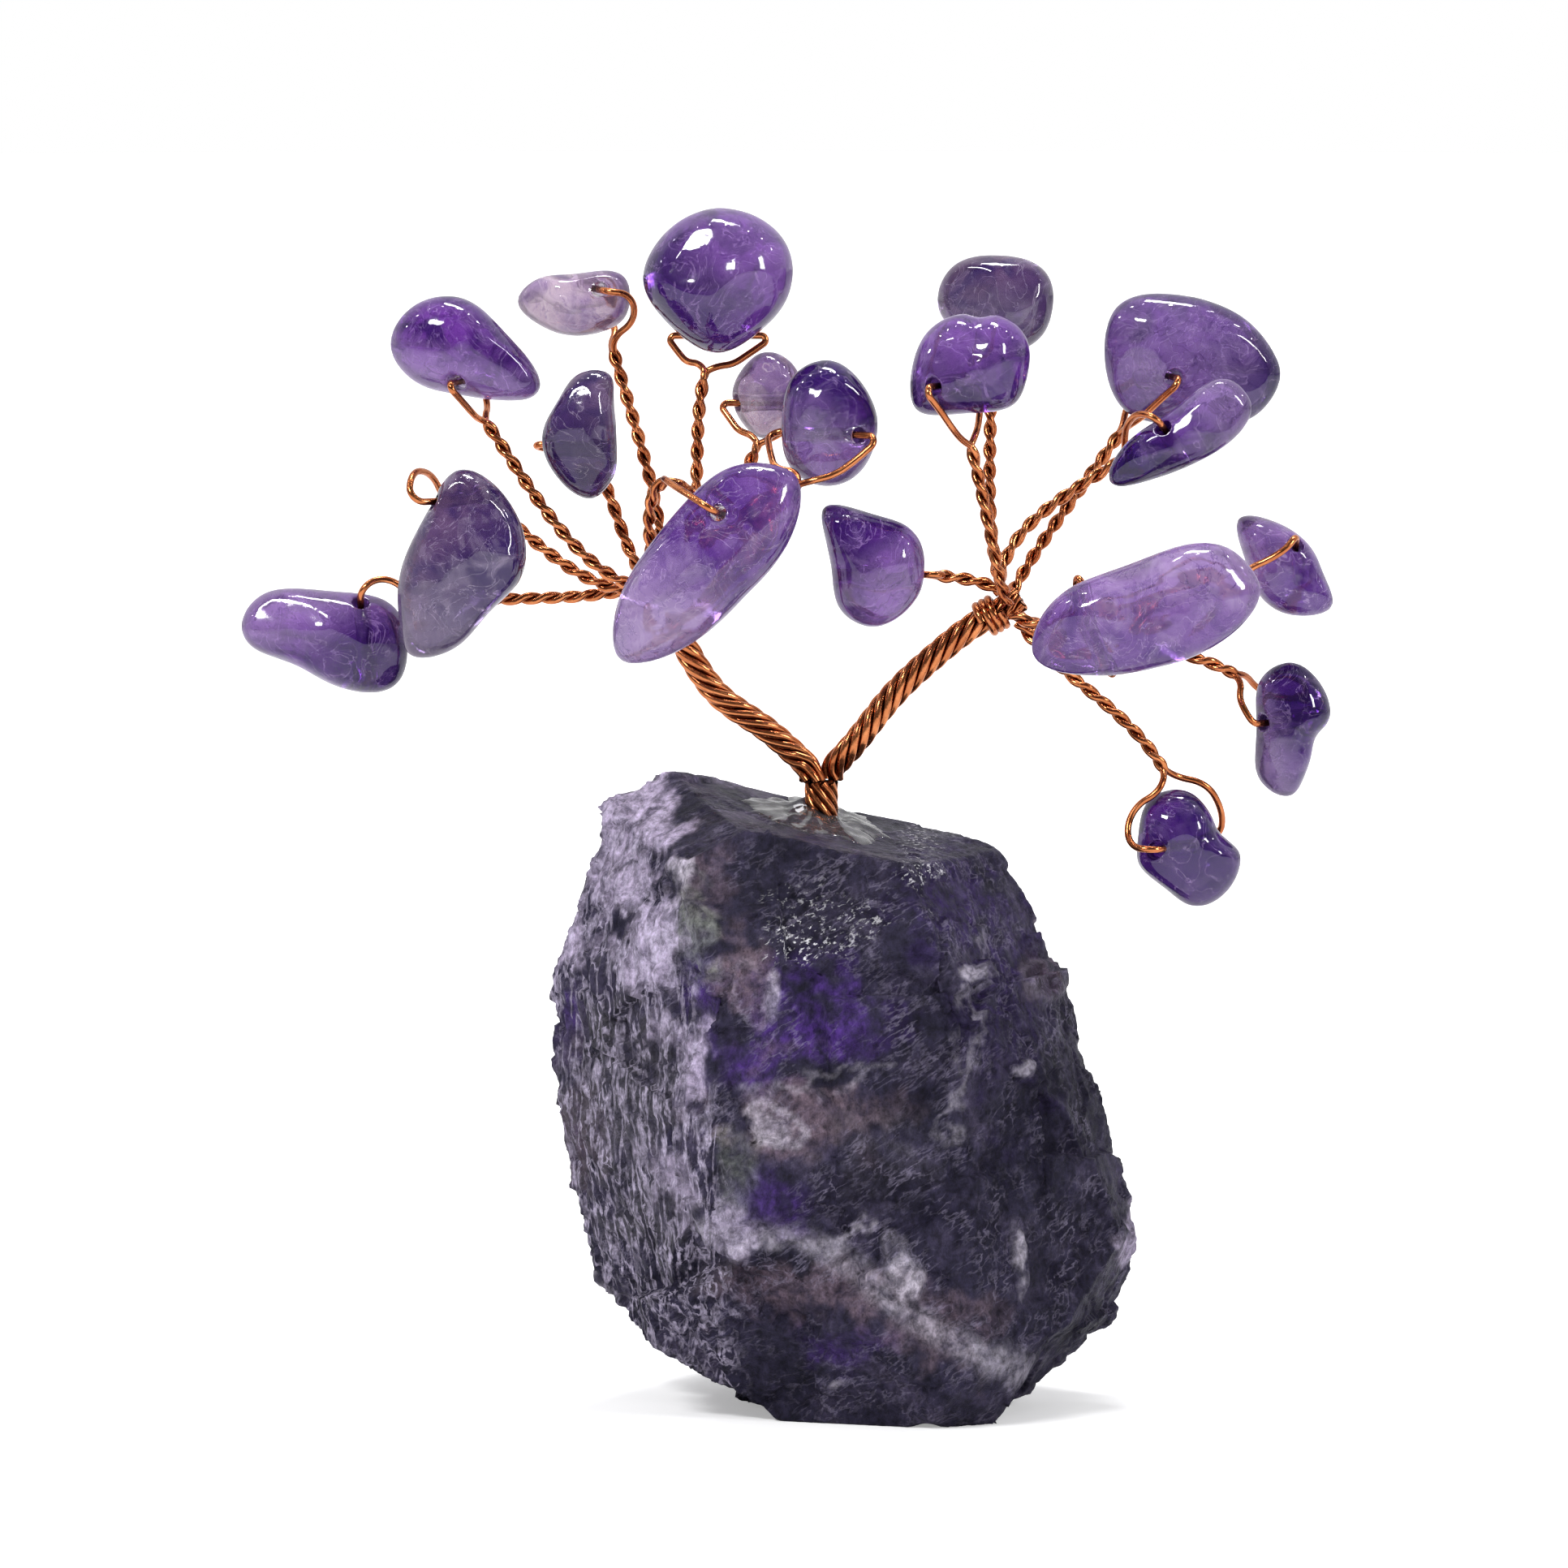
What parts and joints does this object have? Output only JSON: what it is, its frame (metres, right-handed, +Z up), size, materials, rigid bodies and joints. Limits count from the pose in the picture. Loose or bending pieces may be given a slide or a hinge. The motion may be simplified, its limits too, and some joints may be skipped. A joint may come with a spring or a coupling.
{
  "type": "gemstone tree ornament",
  "caption": "Small tabletop tree of tumbled violet stones on twisted copper wire, set in a rough stone base.",
  "frame": {"origin": "on the rough stone's flat standing face, on the trunk's axis", "axes": "+X to the right of the main view, +Y away from the viewer, +Z up along the trunk"},
  "size_m": [0.0762, 0.0308, 0.0846],
  "materials": {
    "rough_stone": "matte",
    "clear_glue": "gloss",
    "copper_wire": "polished",
    "violet_stone": "polished",
    "deep_stone": "polished",
    "lilac_stone": "polished",
    "pale_stone": "polished",
    "smoky_stone": "polished"
  },
  "bodies": {
    "tree": {"rock_base": "rough_stone", "glue_collar": "clear_glue", "trunk": "copper_wire", "left_branch": "copper_wire", "left_wrap": "copper_wire", "right_branch": "copper_wire", "right_wrap": "copper_wire", "left_teardrop_twig": "copper_wire", "left_pale_twig": "copper_wire", "left_round_twig": "copper_wire", "left_dark_twig": "copper_wire", "left_smoky_twig": "copper_wire", "left_end_twig": "copper_wire", "left_small_twig": "copper_wire", "left_deep_twig": "copper_wire", "left_long_twig": "copper_wire", "right_top_twig": "copper_wire", "right_heart_twig": "copper_wire", "right_triangle_twig": "copper_wire", "right_splinter_twig": "copper_wire", "right_beak_twig": "copper_wire", "right_long_twig": "copper_wire", "right_wedge_twig": "copper_wire", "right_drop_twig": "copper_wire", "right_low_twig": "copper_wire"},
    "left_teardrop_stone": {"left_teardrop_bead": "violet_stone"},
    "left_pale_stone": {"left_pale_bead": "pale_stone"},
    "left_round_stone": {"left_round_bead": "violet_stone"},
    "left_dark_stone": {"left_dark_bead": "smoky_stone"},
    "left_smoky_stone": {"left_smoky_bead": "smoky_stone"},
    "left_end_stone": {"left_end_bead": "violet_stone"},
    "left_small_stone": {"left_small_bead": "pale_stone"},
    "left_deep_stone": {"left_deep_bead": "deep_stone"},
    "left_long_stone": {"left_long_bead": "lilac_stone"},
    "right_top_stone": {"right_top_bead": "smoky_stone"},
    "right_heart_stone": {"right_heart_bead": "violet_stone"},
    "right_triangle_stone": {"right_triangle_bead": "deep_stone"},
    "right_splinter_stone": {"right_splinter_bead": "deep_stone"},
    "right_beak_stone": {"right_beak_bead": "violet_stone"},
    "right_long_stone": {"right_long_bead": "lilac_stone"},
    "right_wedge_stone": {"right_wedge_bead": "lilac_stone"},
    "right_drop_stone": {"right_drop_bead": "deep_stone"},
    "right_low_stone": {"right_low_bead": "deep_stone"}
  },
  "joints": [
    {"name": "left_teardrop_swivel", "type": "hinge", "parent": "tree", "child": "left_teardrop_stone", "pos_m": [-0.025, -0.001, 0.07256], "axis": [-0.309, -0.9511, 0], "range_deg": [-20, 20]},
    {"name": "left_pale_swivel", "type": "hinge", "parent": "tree", "child": "left_pale_stone", "pos_m": [-0.01611, 0.005, 0.07863], "axis": [0.309, -0.9511, 0], "range_deg": [-20, 20]},
    {"name": "left_round_swivel", "type": "hinge", "parent": "tree", "child": "left_round_stone", "pos_m": [-0.00731, 0.00254, 0.07547], "axis": [1, 0, 0], "range_deg": [-20, 20]},
    {"name": "left_dark_swivel", "type": "hinge", "parent": "tree", "child": "left_dark_stone", "pos_m": [-0.0172, -0.00047, 0.06802], "axis": [1, 0, 0], "range_deg": [-20, 20]},
    {"name": "left_smoky_swivel", "type": "hinge", "parent": "tree", "child": "left_smoky_stone", "pos_m": [-0.02585, -0.00502, 0.06445], "axis": [0.866, 0.5, 0], "range_deg": [-20, 20]},
    {"name": "left_end_swivel", "type": "hinge", "parent": "tree", "child": "left_end_stone", "pos_m": [-0.03243, 0.00234, 0.05527], "axis": [0, -0.6157, 0.788], "range_deg": [-20, 20]},
    {"name": "left_small_swivel", "type": "hinge", "parent": "tree", "child": "left_small_stone", "pos_m": [-0.00407, 0.00384, 0.07062], "axis": [1, 0, 0], "range_deg": [-20, 20]},
    {"name": "left_deep_swivel", "type": "hinge", "parent": "tree", "child": "left_deep_stone", "pos_m": [0.00075, -0.00344, 0.069], "axis": [0.848, -0.5299, 0], "range_deg": [-20, 20]},
    {"name": "left_long_swivel", "type": "hinge", "parent": "tree", "child": "left_long_stone", "pos_m": [-0.00683, -0.0102, 0.06385], "axis": [-0.1826, -0.9703, 0.1587], "range_deg": [-20, 20]},
    {"name": "right_top_swivel", "type": "hinge", "parent": "tree", "child": "right_top_stone", "pos_m": [0.01208, 0.0048, 0.07608], "axis": [0, -1, 0], "range_deg": [-20, 20]},
    {"name": "right_heart_swivel", "type": "hinge", "parent": "tree", "child": "right_heart_stone", "pos_m": [0.00906, -0.0042, 0.07254], "axis": [-0.5, -0.866, 0], "range_deg": [-20, 15]},
    {"name": "right_triangle_swivel", "type": "hinge", "parent": "tree", "child": "right_triangle_stone", "pos_m": [0.02392, 0.004, 0.07261], "axis": [0.309, -0.9511, 0], "range_deg": [-12, 20]},
    {"name": "right_splinter_swivel", "type": "hinge", "parent": "tree", "child": "right_splinter_stone", "pos_m": [0.02461, -0.00349, 0.06842], "axis": [-0.4022, -0.6947, 0.5964], "range_deg": [-10, 20]},
    {"name": "right_beak_swivel", "type": "hinge", "parent": "tree", "child": "right_beak_stone", "pos_m": [0.0042, -0.00196, 0.05907], "axis": [0.9659, -0.2588, 0], "range_deg": [-20, 20]},
    {"name": "right_long_swivel", "type": "hinge", "parent": "tree", "child": "right_long_stone", "pos_m": [0.01933, -0.00689, 0.05559], "axis": [-0.342, 0, 0.9397], "range_deg": [-20, 20]},
    {"name": "right_wedge_swivel", "type": "hinge", "parent": "tree", "child": "right_wedge_stone", "pos_m": [0.03341, 0.00337, 0.05985], "axis": [0, -0.8192, 0.5736], "range_deg": [-20, 20]},
    {"name": "right_drop_swivel", "type": "hinge", "parent": "tree", "child": "right_drop_stone", "pos_m": [0.03234, 0.003, 0.04811], "axis": [-0.7193, -0.6947, 0], "range_deg": [-20, 20]},
    {"name": "right_low_swivel", "type": "hinge", "parent": "tree", "child": "right_low_stone", "pos_m": [0.02543, -0.002, 0.03989], "axis": [-0.5592, -0.829, 0], "range_deg": [-20, 20]}
  ]
}
